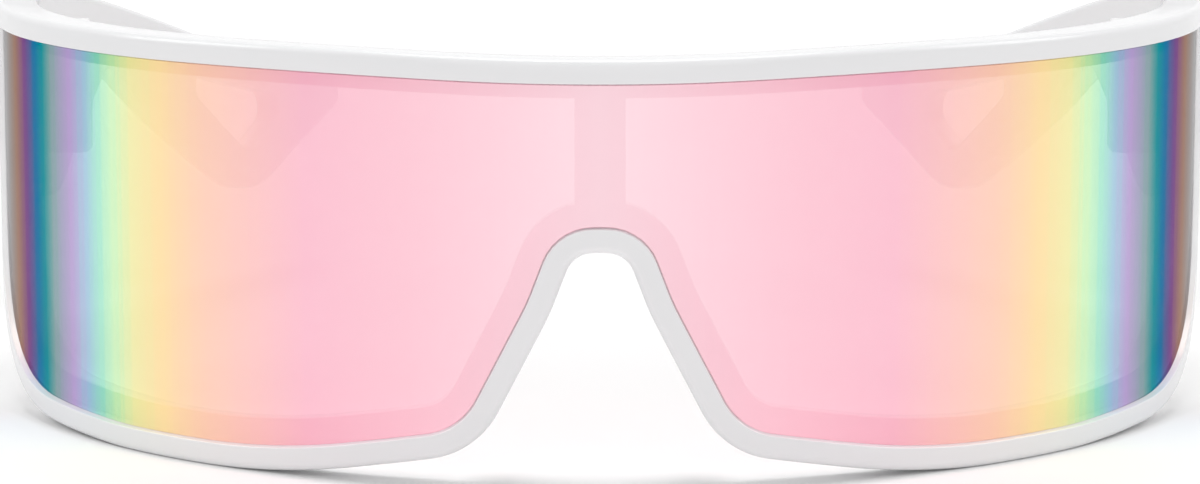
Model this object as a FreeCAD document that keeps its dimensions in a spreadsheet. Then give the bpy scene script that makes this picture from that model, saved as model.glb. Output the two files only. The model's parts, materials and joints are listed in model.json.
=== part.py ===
"""Shield sunglasses: one wrap-round mirrored lens in a moulded rim, with two folding temples.

Lengths are millimetres. X runs across the face, the wearer's left being +X, Y runs from the
front of the lens towards the ears and Z is up. The rim stands on its flat lower edge at Z = 0.
"""
import FreeCAD
import Part
import Sketcher
import math
import os

from FreeCAD import Placement, Rotation, Vector

os.makedirs("parts", exist_ok=True)
doc = FreeCAD.newDocument("ShieldSunglasses")

# Driving dimensions: name, value and what it measures
SIZES = [
    ("wrap_radius", 75.5, "outer radius of the rim, seen from above"),
    ("rim_depth", 5.0, "depth of the rim, from its face to its back"),
    ("rim_width", 2.7, "width of the rim's face round the lens"),
    ("rim_end", 68.5, "distance from the front of the rim back to its ends"),
    ("rim_height", 48.5, "height of the rim at its sides"),
    ("rim_top_dip", 1.0, "how far the lines of the top edge fall towards the middle"),
    ("dip_reach", 16.0, "half length of the bend in the middle of the top edge"),
    ("brow_half_width", 33.0, "where the top edge starts to fall, from the middle"),
    ("brow_reach", 12.0, "half length of the bend there"),
    ("rim_corner", 32.0, "radius of the lower rear corner, seen from the side"),
    ("rim_end_rise", 2.2, "how far the lower edge's line rises towards the rim's ends"),
    ("flat_depth", 25.0, "from the front back to where that line starts to rise"),
    ("flat_reach", 2.0, "half length of the bend there"),
    ("rim_face_round", 0.9, "rounding of the rim's front edges"),
    ("rim_back_round", 0.6, "rounding of the rim's back edges"),
    ("rim_end_round", 1.6, "rounding of the rim's upper rear corners"),
    ("ledge_width", 2.8, "ledge behind the lens, past the rim's face"),
    ("ledge_top_width", 1.8, "the same ledge along the top"),
    ("post_width", 5.6, "post behind the lens, above the nose"),
    ("crown_half_width", 2.9, "nose arch, half width at its crown"),
    ("crown_height", 26.45, "nose arch, height of its crown"),
    ("crown_round", 3.2, "rounding of the crown's corners"),
    ("waist_spread", 2.6, "how much the arch widens, each side, from its crown to its waist"),
    ("waist_drop", 6.8, "how far the waist, where the sides bend out, lies below the crown"),
    ("waist_round", 30.0, "bend of the arch's sides there"),
    ("foot_half_width", 13.6, "nose arch, half width at its foot"),
    ("foot_height", 3.95, "height of the arch's foot"),
    ("foot_round", 10.5, "rounding of the arch's foot"),
    ("flat_half_width", 36.5, "where the lower edge starts to rise to the nose"),
    ("flat_round", 100.0, "bend of the lower edge there"),
    ("pad_thickness", 2.4, "moulded nose pad, thickness"),
    ("pad_reach", 11.0, "distance from the front back to the pad's rear"),
    ("pad_root", 3.2, "distance from the front to where the pad grows out of the rim"),
    ("pad_round", 1.1, "rounding of the pad's corners"),
    ("pad_rear_round", 0.8, "rounding of the pad's rear end"),
    ("pad_top_share", 0.1, "top of the pad, along the arch's side from its waist"),
    ("pad_low_share", 0.72, "bottom of the pad, the same way"),
    ("lens_thickness", 1.8, "thickness of the lens"),
    ("lens_setback", 0.7, "how far the lens lies under the rim's face"),
    ("lens_edge_gap", 0.12, "gap round the lens"),
    ("lens_seat_gap", 0.05, "adhesive between the lens and its ledge"),
    ("boss_margin", 0.1, "hinge block at each end of the rim, past the inner edge of its leaf"),
    ("boss_drop", 2.5, "top of the hinge block, below the rim's height"),
    ("boss_height", 16.4, "height of the hinge block"),
    ("boss_bite", 1.5, "how far the hinge block reaches into the rim"),
    ("boss_round", 2.2, "rounding of the hinge block's free corner"),
    ("butt_gap", 0.35, "gap between the rim's end and the temple"),
    ("temple_front_thickness", 5.0, "thickness of the temple at the rim"),
    ("temple_length", 103.55, "length of the temple, from its front end back"),
    ("temple_rise", 3.35, "how far the temple's front end stands above the rim"),
    ("temple_bend_share", 0.5307, "where the temple bends inwards, along its length"),
    ("temple_bend_in", 4.75, "how far the temple's inner face comes in by the bend"),
    ("temple_bend_thickness", 4.1, "thickness of the temple at the bend"),
    ("temple_bend_reach_share", 0.47, "share of the length that the bend takes, each way"),
    ("temple_end_in", 31.05, "how far the temple's inner face comes in by its end"),
    ("temple_end_thickness", 3.4, "thickness of the temple at its end"),
    ("temple_lead_share", 0.1, "how far the temple's blank starts ahead of the rim's end"),
    ("temple_tail_share", 1.15, "how far the temple's blank runs, from the bend to past the end"),
    ("temple_end_drop", 25.1, "end's upper corner, below the temple's front top"),
    ("temple_end_height", 3.2, "height of the temple's end"),
    ("temple_end_round", 1.7, "rounding of the end's upper corner"),
    ("temple_heel_round", 1.7, "rounding of the end's lower corner"),
    ("temple_top_round", 2.0, "rounding of the temple's upper front corner"),
    ("temple_crest_share", 0.494, "where the top edge bends down, along the temple's length"),
    ("temple_crest_drop", 10.1, "top edge there, below the temple's front top"),
    ("temple_crest_reach_share", 0.364, "share of the length that this bend takes, each way"),
    ("temple_front_height", 36.5, "height of the temple's front end"),
    ("temple_toe_round", 9.0, "rounding of the lower front corner"),
    ("ear_along", 35.95, "notch over the ear, from the temple's front end"),
    ("ear_drop", 14.7, "notch, below the temple's front top"),
    ("ear_round", 8.0, "rounding of the notch"),
    ("hook_before_end", 21.8, "lowest corner behind the ear, ahead of the temple's end"),
    ("hook_drop", 39.7, "that corner, below the temple's front top"),
    ("hook_round", 11.0, "rounding of that corner"),
    ("window_front_share", 0.336, "window's front corner, along the line from notch to end"),
    ("window_front_round", 1.6, "rounding of that corner"),
    ("window_rear_share", 0.867, "window's rear corner, along the same line"),
    ("window_rear_sink_share", 0.149, "how far that corner sinks from the line to the hook"),
    ("window_rear_round", 2.6, "rounding of that corner"),
    ("window_low_share", 0.6375, "window's lower corner, along the same line"),
    ("window_low_sink_share", 0.63, "how far that corner sinks from the line to the hook"),
    ("window_low_round", 3.0, "rounding of that corner"),
    ("temple_edge_round", 0.9, "rounding of the temple's long edges"),
    ("hinge_drop", 9.5, "middle of the hinge, below the rim's height"),
    ("barrel_radius", 1.8, "outer radius of the hinge's knuckles"),
    ("barrel_clearance", 0.3, "gap between a knuckle and the temple"),
    ("knuckle_height", 3.0, "height of one knuckle"),
    ("knuckle_gap", 0.1, "gap between two knuckles"),
    ("leaf_thickness", 0.8, "thickness of a hinge leaf"),
    ("front_leaf_width", 5.6, "front leaf, across"),
    ("front_leaf_outset", 1.2, "front leaf, from the hinge's axis outwards"),
    ("front_leaf_height", 11.0, "front leaf, up"),
    ("temple_leaf_length", 11.5, "temple leaf, from the hinge's axis back"),
    ("temple_leaf_height", 8.4, "temple leaf, up"),
    ("leaf_round", 1.0, "rounding of a leaf's corners"),
    ("leaf_swing_gap", 0.35, "gap between the temple leaf and the front knuckles"),
    ("seat_clearance", 0.15, "gap round a leaf in its recess"),
    ("pivot_radius", 0.7, "radius of the pivot screw"),
    ("pivot_clearance", 0.05, "radial clearance of the pivot screw in its knuckles"),
    ("pivot_head_radius", 1.35, "radius of the pivot screw's head"),
    ("pivot_head_height", 0.8, "height of that head"),
    ("pivot_head_round", 0.4, "rounding of that head"),
    ("pivot_tail", 0.4, "end of the pivot screw below the hinge"),
    ("slot_width", 0.35, "width of a screw's slot"),
    ("slot_depth", 0.35, "depth of a screw's slot"),
    ("fixing_radius", 0.55, "radius of a leaf screw"),
    ("fixing_clearance", 0.03, "radial clearance of a leaf screw"),
    ("fixing_length", 3.0, "length of a leaf screw"),
    ("fixing_head_radius", 1.0, "radius of a leaf screw's head"),
    ("fixing_rim", 0.15, "straight rim of that head"),
    ("fixing_inset", 1.45, "leaf screw from the edge of its leaf"),
    ("front_fixing_spread", 6.0, "distance between the front leaf's screws"),
    ("temple_fixing_spread", 5.0, "distance between the temple leaf's screws"),
    ("overrun", 10.0, "how far a cutting tool reaches past what it cuts"),
]

sheet = doc.addObject("Spreadsheet::Sheet", "Sizes")
for row, (alias, value, meaning) in enumerate(SIZES, start=1):
    sheet.set(f"A{row}", meaning)
    sheet.set(f"B{row}", str(value))
    sheet.setAlias(f"B{row}", alias)
doc.recompute()


class Size:
    """A value with the sheet formula that gives it, so that sums of sizes stay bound to the cells."""

    def __init__(self, value, formula):
        self.value = value
        self.formula = formula

    def __add__(self, other):
        return Size(self.value + other.value, f"({self.formula} + {other.formula})")

    def __sub__(self, other):
        return Size(self.value - other.value, f"({self.formula} - {other.formula})")

    def __mul__(self, other):
        return Size(self.value * other.value, f"({self.formula} * {other.formula})")

    def __truediv__(self, other):
        return Size(self.value / other.value, f"({self.formula} / {other.formula})")

    def __neg__(self):
        return Size(-self.value, f"(-{self.formula})")

    def half(self):
        return Size(self.value / 2, f"({self.formula} / 2)")

    def root(self):
        return Size(math.sqrt(self.value), f"sqrt({self.formula})")


class Cells:
    """The sheet's cells, each read as a Size by its alias."""

    def __getattr__(self, alias):
        return Size(float(sheet.get(alias)), f"Sizes.{alias}")


cell = Cells()
NOTHING = Size(0.0, "0")

# Sketch planes: plan is seen from above, front from ahead and side from the wearer's left
PLAN = Placement()
FRONT = Placement(Vector(), Rotation(Vector(1, 0, 0), 90))
SIDE = Placement(Vector(), Rotation(Vector(1, 1, 1), 120))


def bind(feature, **sizes):
    """Tie the named properties of a feature to their sizes."""
    for name, size in sizes.items():
        feature.setExpression(name, size.formula)


def place(feature, x=NOTHING, y=NOTHING, z=NOTHING):
    """Tie a feature's position to three sizes."""
    for axis, size in zip("xyz", (x, y, z)):
        feature.setExpression(f"Placement.Base.{axis}", size.formula)


def dimension(sketch, label, constraint, size):
    """Add a dimension to a sketch under a label and tie it to a size."""
    index = sketch.addConstraint(constraint)
    sketch.renameConstraint(index, label)
    sketch.setExpression(f"Constraints.{label}", size.formula)


def pin(sketch, label, geometry, end, across, up):
    """Hold one point of a sketch at its distances from the sketch's origin."""
    if across.value:
        rule = Sketcher.Constraint("DistanceX", -1, 1, geometry, end, across.value)
        dimension(sketch, f"{label}_across", rule, across)
    else:
        sketch.addConstraint(Sketcher.Constraint("PointOnObject", geometry, end, -2))
    if up.value:
        rule = Sketcher.Constraint("DistanceY", -1, 1, geometry, end, up.value)
        dimension(sketch, f"{label}_up", rule, up)
    else:
        sketch.addConstraint(Sketcher.Constraint("PointOnObject", geometry, end, -1))


def corner_arc(corner, towards_last, towards_next, radius):
    """The arc that rounds a corner: its geometry, its two tangent points and whether it turns left."""
    half_angle = towards_last.getAngle(towards_next) / 2
    reach = radius / math.tan(half_angle)
    arrive = corner + towards_last * reach
    leave = corner + towards_next * reach
    bisector = (towards_last + towards_next).normalize()
    centre = corner + bisector * (radius / math.sin(half_angle))
    turns_left = towards_last.cross(towards_next).z < 0
    first, last = (arrive, leave) if turns_left else (leave, arrive)
    start = math.atan2(first.y - centre.y, first.x - centre.x)
    stop = math.atan2(last.y - centre.y, last.x - centre.x)
    if stop < start:
        stop += 2 * math.pi
    circle = Part.Circle(centre, Vector(0, 0, 1), radius)
    return Part.ArcOfCircle(circle, start, stop), arrive, leave, turns_left


class Reach:
    """A rounding given by how far its arc reaches from the corner along both edges."""

    def __init__(self, size):
        self.size = size


def outline(name, plane, corners):
    """A closed sketch through corners given as (across, up, rounding).

    A rounding is a radius, a Reach or, for a sharp corner, None.
    """
    sketch = doc.addObject("Sketcher::SketchObject", name)
    sketch.Placement = plane
    count = len(corners)
    points = [Vector(across.value, up.value, 0) for across, up, rounding in corners]
    arcs, arrivals, departures = [], [], []
    for index, (across, up, rounding) in enumerate(corners):
        point = points[index]
        arc, arrive, leave, turns_left = None, point, point, True
        if rounding is not None:
            towards_last = (points[index - 1] - point).normalize()
            towards_next = (points[(index + 1) % count] - point).normalize()
            if isinstance(rounding, Reach):
                radius = rounding.size.value * math.tan(towards_last.getAngle(towards_next) / 2)
            else:
                radius = rounding.value
            arc, arrive, leave, turns_left = corner_arc(point, towards_last, towards_next, radius)
        arcs.append((arc, turns_left))
        arrivals.append(arrive)
        departures.append(leave)
    lines = []
    for index in range(count):
        line = Part.LineSegment(departures[index], arrivals[(index + 1) % count])
        lines.append(sketch.addGeometry(line))
    for index, (across, up, rounding) in enumerate(corners):
        label = f"corner_{index + 1}"
        arriving, leaving = lines[index - 1], lines[index]
        arc, turns_left = arcs[index]
        if arc is None:
            sketch.addConstraint(Sketcher.Constraint("Coincident", arriving, 2, leaving, 1))
            pin(sketch, label, leaving, 1, across, up)
            continue
        bend = sketch.addGeometry(arc)
        tip = sketch.addGeometry(Part.Point(points[index]), True)
        sketch.addConstraint(Sketcher.Constraint("PointOnObject", tip, 1, arriving))
        sketch.addConstraint(Sketcher.Constraint("PointOnObject", tip, 1, leaving))
        first, last = (1, 2) if turns_left else (2, 1)
        sketch.addConstraint(Sketcher.Constraint("Tangent", arriving, 2, bend, first))
        sketch.addConstraint(Sketcher.Constraint("Tangent", leaving, 1, bend, last))
        pin(sketch, label, tip, 1, across, up)
        if isinstance(rounding, Reach):
            rule = Sketcher.Constraint("Distance", tip, 1, leaving, 1, rounding.size.value)
            dimension(sketch, f"{label}_reach", rule, rounding.size)
        else:
            rule = Sketcher.Constraint("Radius", bend, rounding.value)
            dimension(sketch, f"{label}_round", rule, rounding)
    return sketch


def inset(name, source, distance):
    """The outline that runs inside a source outline at a distance."""
    inner = doc.addObject("Part::Offset2D", name)
    inner.Source = source
    inner.Join = "Intersection"
    bind(inner, Value=-distance)
    return inner


def prism(name, source, direction, forward, backward=NOTHING):
    """An outline carried along a direction, both ways."""
    solid = doc.addObject("Part::Extrusion", name)
    solid.Base = source
    solid.DirMode = "Custom"
    solid.Dir = direction
    solid.Solid = True
    bind(solid, LengthFwd=forward, LengthRev=backward)
    return solid


def cylinder(name, radius, height, x=NOTHING, y=NOTHING, z=NOTHING):
    solid = doc.addObject("Part::Cylinder", name)
    bind(solid, Radius=radius, Height=height)
    place(solid, x, y, z)
    return solid


def box(name, length, width, height, x=NOTHING, y=NOTHING, z=NOTHING):
    solid = doc.addObject("Part::Box", name)
    bind(solid, Length=length, Width=width, Height=height)
    place(solid, x, y, z)
    return solid


def cut(name, base, tool):
    result = doc.addObject("Part::Cut", name)
    result.Base = base
    result.Tool = tool
    return result


def fuse(name, *pieces):
    result = doc.addObject("Part::MultiFuse", name)
    result.Shapes = list(pieces)
    result.Refine = True
    return result


def common(name, *pieces):
    result = doc.addObject("Part::MultiCommon", name)
    result.Shapes = list(pieces)
    return result


def mirrored(name, source):
    """The same piece on the other side of the face."""
    copy = doc.addObject("Part::Mirroring", name)
    copy.Source = source
    copy.Normal = Vector(1, 0, 0)
    return copy


def rounded(name, base, radius, wanted):
    """A piece with the edges that pass a test rounded."""
    doc.recompute()
    result = doc.addObject("Part::Fillet", name)
    result.Base = base
    chosen = [number for number, edge in enumerate(base.Shape.Edges, start=1) if wanted(edge)]
    result.Edges = [(number, radius.value, radius.value) for number in chosen]
    return result


# Sizes that several pieces share
rim_inner_radius = cell.wrap_radius - cell.rim_depth
lens_outer_radius = cell.wrap_radius - cell.lens_setback
lens_inner_radius = lens_outer_radius - cell.lens_thickness
seat_radius = lens_inner_radius - cell.lens_seat_gap
pillar_width = cell.rim_width + cell.ledge_width
end_setback = cell.wrap_radius - cell.rim_end
end_inner_x = (rim_inner_radius * rim_inner_radius - end_setback * end_setback).root()
tool_height = cell.rim_height + cell.overrun
tool_half_width = cell.wrap_radius + cell.overrun
waist_half_width = cell.crown_half_width + cell.waist_spread
waist_height = cell.crown_height - cell.waist_drop

# Tolerances of the tests that pick edges
SAME_PLACE = 1e-4
ALONG_SHARE = 0.99

UP = Vector(0, 0, 1)
BACK = Vector(0, 1, 0)
ACROSS = Vector(1, 0, 0)


def front_outline(name, lift):
    """The rim seen from ahead: a level top edge that dips in the middle and an arch for the nose."""
    level = cell.rim_height + lift
    brow_bend = Reach(cell.brow_reach)
    arch = [
        (cell.flat_half_width, NOTHING, cell.flat_round),
        (cell.foot_half_width, cell.foot_height, cell.foot_round),
        (waist_half_width, waist_height, cell.waist_round),
        (cell.crown_half_width, cell.crown_height, cell.crown_round),
    ]
    left_half = [(NOTHING, level - cell.rim_top_dip, Reach(cell.dip_reach))]
    left_half += [(-cell.brow_half_width, level, brow_bend)]
    left_half += [(-tool_half_width, level, None), (-tool_half_width, NOTHING, None)]
    left_half += [(-across, up, rounding) for across, up, rounding in arch]
    right_half = list(reversed(arch))
    right_half += [(tool_half_width, NOTHING, None), (tool_half_width, level, None)]
    right_half += [(cell.brow_half_width, level, brow_bend)]
    return outline(name, FRONT, left_half + right_half)


def side_outline(name):
    """The rim seen from the side: flat below, then rising to a large round at its lower rear corner."""
    return outline(name, SIDE, [
        (-cell.overrun, NOTHING, None),
        (cell.flat_depth, NOTHING, Reach(cell.flat_reach)),
        (cell.rim_end, cell.rim_end_rise, cell.rim_corner),
        (cell.rim_end, tool_height, None),
        (-cell.overrun, tool_height, None),
    ])


def wrap_cylinder(name, radius):
    """A tall cylinder about the wrap's axis."""
    return cylinder(name, radius, tool_height, y=cell.wrap_radius)


front_view = front_outline("front_view", NOTHING)
opening_view = front_outline("opening_view", cell.ledge_width - cell.ledge_top_width)
side_view = side_outline("side_view")


def front_prism(name, view):
    return prism(name, view, BACK, cell.rim_end + cell.overrun, cell.overrun)


def side_prism(name, view):
    return prism(name, view, ACROSS, tool_half_width, tool_half_width)


rim_front_prism = front_prism("rim_front_prism", front_view)
rim_side_prism = side_prism("rim_side_prism", side_view)

# Rim: a bent wall, trimmed in both views, rounded, rebated for the lens and opened for the eyes
rim_wall = cut("rim_wall", wrap_cylinder("rim_outer", cell.wrap_radius),
               wrap_cylinder("rim_hollow", rim_inner_radius))
rim_blank = common("rim_blank", rim_wall, rim_front_prism, rim_side_prism)


def on_wrap(radius):
    """A test for edges that lie on a cylinder about the wrap's axis."""
    def wanted(edge):
        ends = (edge.FirstParameter, (edge.FirstParameter + edge.LastParameter) / 2, edge.LastParameter)
        spots = [edge.valueAt(end) for end in ends]
        reaches = [math.hypot(spot.x, spot.y - cell.wrap_radius.value) for spot in spots]
        return all(abs(reach - radius.value) < SAME_PLACE for reach in reaches)
    return wanted


def across_end(edge):
    """Edges across the rim's thickness at its ends, above the large lower corner."""
    corner_top = cell.rim_end_rise.value + cell.rim_corner.value
    spots = [edge.valueAt(end) for end in (edge.FirstParameter, edge.LastParameter)]
    at_end = all(abs(spot.y - cell.rim_end.value) < SAME_PLACE for spot in spots)
    return at_end and all(spot.z > corner_top for spot in spots)


rim_ended = rounded("rim_ended", rim_blank, cell.rim_end_round, across_end)
rim_faced = rounded("rim_faced", rim_ended, cell.rim_face_round, on_wrap(cell.wrap_radius))
rim_round = rounded("rim_round", rim_faced, cell.rim_back_round, on_wrap(rim_inner_radius))


def inset_wall(name, wall, view, distance):
    """A wall trimmed to the rim's two outlines, each drawn in by a distance."""
    ahead = front_prism(f"{name}_front_prism", inset(f"{name}_front_view", view, distance))
    beside = side_prism(f"{name}_side_prism", inset(f"{name}_side_view", side_view, distance))
    return common(name, wall, ahead, beside)


rebate_wall = cut("rebate_wall", wrap_cylinder("rebate_outer", tool_half_width),
                  wrap_cylinder("rebate_floor", seat_radius))
rebate = inset_wall("rebate", rebate_wall, front_view, cell.rim_width)
eyes = inset_wall("eyes", wrap_cylinder("eyes_outer", tool_half_width), opening_view, pillar_width)
post = box("post", cell.post_width, cell.wrap_radius, tool_height, x=-cell.post_width.half())
eye_openings = cut("eye_openings", eyes, post)
rim_rebated = cut("rim_rebated", rim_round, rebate)
rim_opened = cut("rim_opened", rim_rebated, eye_openings)

# Hinge axis and the plates' places, on the wearer's left
hinge_x = end_inner_x - cell.barrel_radius - cell.barrel_clearance
hinge_y = cell.rim_end + cell.barrel_radius + cell.barrel_clearance
hinge_middle = cell.rim_height - cell.hinge_drop
hinge_half_height = cell.knuckle_height + cell.knuckle_height.half() + cell.knuckle_gap
hinge_low = hinge_middle - hinge_half_height
hinge_top = hinge_middle + hinge_half_height
front_leaf_outer_x = hinge_x + cell.front_leaf_outset
front_leaf_inner_x = front_leaf_outer_x - cell.front_leaf_width
front_fixing_x = front_leaf_inner_x + cell.fixing_inset
swing_reach = cell.barrel_radius + cell.leaf_swing_gap
leaf_face = cell.barrel_radius + cell.barrel_clearance - cell.leaf_thickness
temple_leaf_start = hinge_y + (swing_reach * swing_reach - leaf_face * leaf_face).root()
temple_leaf_end = hinge_y + cell.temple_leaf_length
temple_fixing_y = temple_leaf_end - cell.fixing_inset

# Screws: a countersunk leaf screw and its hole, each turned from a profile about its axis


def turned(name, corners):
    """A solid turned about the upright axis from a profile given as (radius, height, rounding)."""
    solid = doc.addObject("Part::Revolution", name)
    solid.Source = outline(f"{name}_profile", FRONT, corners)
    solid.Axis = UP
    solid.Angle = 360
    solid.Solid = True
    return solid


def fixing_profile(clearance, top):
    """Half the section of a leaf screw, its head's rim at height 0, grown by a clearance."""
    head = cell.fixing_head_radius + clearance
    shank = cell.fixing_radius + clearance
    neck = -(cell.fixing_head_radius - cell.fixing_radius)
    low = -(cell.fixing_length + clearance)
    return [(NOTHING, low, None), (shank, low, None), (shank, neck, None), (head, NOTHING, None),
            (head, top, None), (NOTHING, top, None)]


def slotted(name, screw, head_radius, top):
    """A screw with a driver's slot across its head."""
    span = head_radius + head_radius + cell.overrun
    slot = box(f"{name}_slot", span, cell.slot_width, cell.overrun,
               x=-span.half(), y=-cell.slot_width.half(), z=top - cell.slot_depth)
    return cut(name, screw, slot)


leaf_screw_blank = turned("leaf_screw_blank", fixing_profile(NOTHING, cell.fixing_rim))
leaf_screw = slotted("leaf_screw", leaf_screw_blank, cell.fixing_head_radius, cell.fixing_rim)
leaf_screw_hole = turned("leaf_screw_hole", fixing_profile(cell.fixing_clearance, cell.overrun))

# Turns that point a screw's head backwards, or towards the face
HEAD_BACK = Rotation(Vector(1, 0, 0), -90)
HEAD_INWARD = Rotation(Vector(0, 1, 0), -90)


def placed(name, source, turn, x, y, z):
    """A copy of a piece, turned and set at a place."""
    copy = doc.addObject("Part::Compound", name)
    copy.Links = [source]
    copy.Placement = Placement(Vector(), turn)
    place(copy, x, y, z)
    return copy


def group(name, *pieces):
    """Like pieces kept as one node of separate solids."""
    result = doc.addObject("Part::Compound", name)
    result.Links = list(pieces)
    return result


def front_fixings(name, source):
    """The front leaf's two screws, or their holes, one above the other."""
    spread = cell.front_fixing_spread.half()
    face = cell.rim_end + cell.leaf_thickness - cell.fixing_rim
    high = placed(f"{name}_high", source, HEAD_BACK, front_fixing_x, face, hinge_middle + spread)
    low = placed(f"{name}_low", source, HEAD_BACK, front_fixing_x, face, hinge_middle - spread)
    return group(name, high, low)


def temple_fixings(name, source):
    """The temple leaf's two screws, or their holes, one behind the other."""
    face = end_inner_x - cell.leaf_thickness + cell.fixing_rim
    ahead = temple_fixing_y - cell.temple_fixing_spread
    rear = placed(f"{name}_rear", source, HEAD_INWARD, face, temple_fixing_y, hinge_middle)
    front = placed(f"{name}_front", source, HEAD_INWARD, face, ahead, hinge_middle)
    return group(name, rear, front)


left_front_leaf_screws = front_fixings("left_front_leaf_screws", leaf_screw)
left_temple_leaf_screws = temple_fixings("left_temple_leaf_screws", leaf_screw)
front_leaf_holes = front_fixings("front_leaf_holes", leaf_screw_hole)
temple_leaf_holes = temple_fixings("temple_leaf_holes", leaf_screw_hole)

# Pivot screw, with a rounded head above the hinge and a short tail below it
pivot_head_top = hinge_top + cell.pivot_head_height
pivot_screw_blank = turned("pivot_screw_blank", [
    (NOTHING, hinge_low - cell.pivot_tail, None),
    (cell.pivot_radius, hinge_low - cell.pivot_tail, None),
    (cell.pivot_radius, hinge_top, None),
    (cell.pivot_head_radius, hinge_top, None),
    (cell.pivot_head_radius, pivot_head_top, cell.pivot_head_round),
    (NOTHING, pivot_head_top, None),
])
pivot_screw = slotted("pivot_screw", pivot_screw_blank, cell.pivot_head_radius, pivot_head_top)
seated_screw = placed("seated_screw", pivot_screw, Rotation(), hinge_x, hinge_y, NOTHING)
left_hinge_screw = group("left_hinge_screw", seated_screw)
pivot_hole = cylinder("pivot_hole", cell.pivot_radius + cell.pivot_clearance,
                      tool_height, hinge_x, hinge_y)


def knuckle(name, low):
    """One knuckle of the hinge, standing on a height."""
    return cylinder(name, cell.barrel_radius, cell.knuckle_height, hinge_x, hinge_y, low)


# Front leaf: a plate on the hinge block's rear face, with the top and bottom knuckles
front_leaf_half = cell.front_leaf_height.half()
front_leaf_view = outline("front_leaf_view", FRONT, [
    (front_leaf_inner_x, hinge_middle - front_leaf_half, cell.leaf_round),
    (front_leaf_outer_x, hinge_middle - front_leaf_half, cell.leaf_round),
    (front_leaf_outer_x, hinge_middle + front_leaf_half, cell.leaf_round),
    (front_leaf_inner_x, hinge_middle + front_leaf_half, cell.leaf_round),
])
place(front_leaf_view, y=cell.rim_end)
front_plate = prism("front_plate", front_leaf_view, BACK, cell.leaf_thickness)
middle_room = box("middle_room", cell.barrel_radius + cell.barrel_radius, cell.barrel_radius,
                  cell.knuckle_height + cell.knuckle_gap + cell.knuckle_gap,
                  x=hinge_x - cell.barrel_radius, y=cell.rim_end + cell.barrel_clearance,
                  z=hinge_middle - cell.knuckle_height.half() - cell.knuckle_gap)
front_plate_cleared = cut("front_plate_cleared", front_plate, middle_room)
front_leaf_solid = fuse("front_leaf_solid", front_plate_cleared, knuckle("low_knuckle", hinge_low),
                        knuckle("top_knuckle", hinge_top - cell.knuckle_height))
front_leaf_bored = cut("front_leaf_bored", front_leaf_solid, pivot_hole)
left_front_hinge_leaf = cut("left_front_hinge_leaf", front_leaf_bored, front_leaf_holes)

# Temple leaf: a plate on the temple's inner face, with a tongue that ends in the middle knuckle
temple_leaf_half = cell.temple_leaf_height.half()
tongue_half = cell.knuckle_height.half()
temple_leaf_view = outline("temple_leaf_view", SIDE, [
    (hinge_y, hinge_middle - tongue_half, None),
    (temple_leaf_start, hinge_middle - tongue_half, None),
    (temple_leaf_start, hinge_middle - temple_leaf_half, cell.leaf_round),
    (temple_leaf_end, hinge_middle - temple_leaf_half, cell.leaf_round),
    (temple_leaf_end, hinge_middle + temple_leaf_half, cell.leaf_round),
    (temple_leaf_start, hinge_middle + temple_leaf_half, cell.leaf_round),
    (temple_leaf_start, hinge_middle + tongue_half, None),
    (hinge_y, hinge_middle + tongue_half, None),
])
place(temple_leaf_view, x=end_inner_x - cell.leaf_thickness)
temple_plate = prism("temple_plate", temple_leaf_view, ACROSS, cell.leaf_thickness)
temple_leaf_solid = fuse("temple_leaf_solid", temple_plate,
                         knuckle("middle_knuckle", hinge_middle - tongue_half))
temple_leaf_bored = cut("temple_leaf_bored", temple_leaf_solid, pivot_hole)
left_temple_hinge_leaf = cut("left_temple_hinge_leaf", temple_leaf_bored, temple_leaf_holes)

# Hinge block inside the rim's end, trimmed by the rim's own corner
boss_inner_x = front_leaf_inner_x - cell.boss_margin
boss_view = outline("boss_view", PLAN, [
    (boss_inner_x, cell.rim_end, None),
    (boss_inner_x, cell.rim_end - pillar_width, cell.boss_round),
    (end_inner_x, cell.rim_end - pillar_width, None),
    (end_inner_x + cell.boss_bite, cell.rim_end, None),
])
place(boss_view, z=cell.rim_height - cell.boss_drop - cell.boss_height)
boss_block = prism("boss_block", boss_view, UP, cell.boss_height)
left_boss = common("left_boss", boss_block, rim_side_prism)
right_boss = mirrored("right_boss", left_boss)

# Moulded nose pads, which carry the arch's sides back towards the face


def along_arch(share, offset):
    """A place beside the arch's straight side: a share of the way from waist to foot, set off it."""
    run_x = cell.foot_half_width - waist_half_width
    run_z = cell.foot_height - waist_height
    length = (run_x * run_x + run_z * run_z).root()
    x = waist_half_width + run_x * share - run_z / length * offset
    z = waist_height + run_z * share + run_x / length * offset
    return x, z


pad_view = outline("pad_view", FRONT, [
    (*along_arch(cell.pad_top_share, NOTHING), cell.pad_round),
    (*along_arch(cell.pad_low_share, NOTHING), cell.pad_round),
    (*along_arch(cell.pad_low_share, cell.pad_thickness), cell.pad_round),
    (*along_arch(cell.pad_top_share, cell.pad_thickness), cell.pad_round),
])
place(pad_view, y=cell.pad_root)
pad_block = prism("pad_block", pad_view, BACK, cell.pad_reach - cell.pad_root)


def at_pad_rear(edge):
    """Edges round the pad's rear end."""
    ends = (edge.FirstParameter, edge.LastParameter)
    return all(abs(edge.valueAt(end).y - cell.pad_reach.value) < SAME_PLACE for end in ends)


left_pad = rounded("left_pad", pad_block, cell.pad_rear_round, at_pad_rear)
right_pad = mirrored("right_pad", left_pad)

frame_solid = fuse("frame_solid", rim_opened, left_boss, right_boss, left_pad, right_pad)
frame_holed = cut("frame_holed", frame_solid, front_leaf_holes)
front_frame = cut("front_frame", frame_holed, mirrored("right_front_leaf_holes", front_leaf_holes))

# Lens: a bent sheet with the rebate's outline, less the gap round it
lens_wall = cut("lens_wall", wrap_cylinder("lens_outer", lens_outer_radius),
                wrap_cylinder("lens_inner", lens_inner_radius))
shield_lens = inset_wall("shield_lens", lens_wall, front_view, cell.rim_width + cell.lens_edge_gap)

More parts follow.
